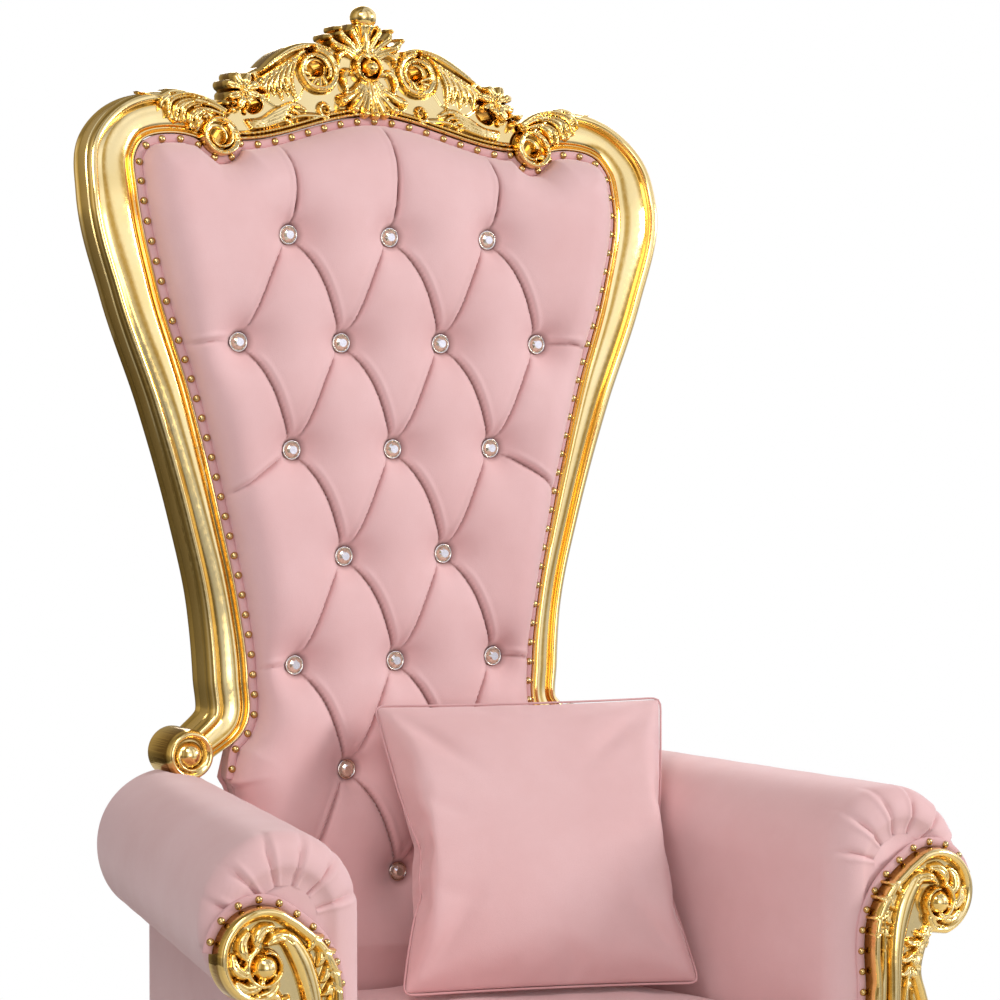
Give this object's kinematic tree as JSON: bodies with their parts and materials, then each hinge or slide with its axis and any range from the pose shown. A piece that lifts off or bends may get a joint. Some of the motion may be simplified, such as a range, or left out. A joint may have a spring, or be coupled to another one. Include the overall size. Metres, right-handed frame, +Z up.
{
  "type": "throne chair",
  "caption": "Tall-backed throne with a carved gilt frame, a button-tufted velvet back, rolled arms with scrolled fronts, cabriole legs and a loose square pillow.",
  "frame": {"origin": "centre of the footprint, on the floor", "axes": "+Z up, the throne faces -Y, +X is the sitter's left"},
  "size_m": [1.0838, 0.778, 1.8],
  "materials": {
    "polished_gold": "mirror-polished gilt over carved wood, with brighter high edges",
    "blush_velvet": "short-pile blush pink velvet with a soft sheen",
    "crystal": "faceted clear stone in a silver rim",
    "dark_canvas": "plain black woven dust cover over the seat's board"
  },
  "bodies": {
    "root": {"arm_front_left": "polished_gold", "arm_front_right": "polished_gold", "arm_left": "blush_velvet", "arm_right": "blush_velvet", "back_cover": "blush_velvet", "back_pad": "blush_velvet", "back_stile_left": "polished_gold", "back_stile_right": "polished_gold", "bottom_board": "dark_canvas", "crest": "polished_gold", "crystal_button_01": "crystal", "crystal_button_02": "crystal", "crystal_button_03": "crystal", "crystal_button_04": "crystal", "crystal_button_05": "crystal", "crystal_button_06": "crystal", "crystal_button_07": "crystal", "crystal_button_08": "crystal", "crystal_button_09": "crystal", "crystal_button_10": "crystal", "crystal_button_11": "crystal", "crystal_button_12": "crystal", "crystal_button_13": "crystal", "crystal_button_14": "crystal", "crystal_button_15": "crystal", "crystal_button_16": "crystal", "crystal_button_17": "crystal", "crystal_button_18": "crystal", "crystal_button_19": "crystal", "crystal_button_20": "crystal", "front_leg_left": "polished_gold", "front_leg_right": "polished_gold", "front_rail": "polished_gold", "pillow": "blush_velvet", "rear_leg_left": "polished_gold", "rear_leg_right": "polished_gold", "rear_rail": "polished_gold", "seat": "blush_velvet", "side_rail_left": "polished_gold", "side_rail_right": "polished_gold"}
  },
  "joints": []
}
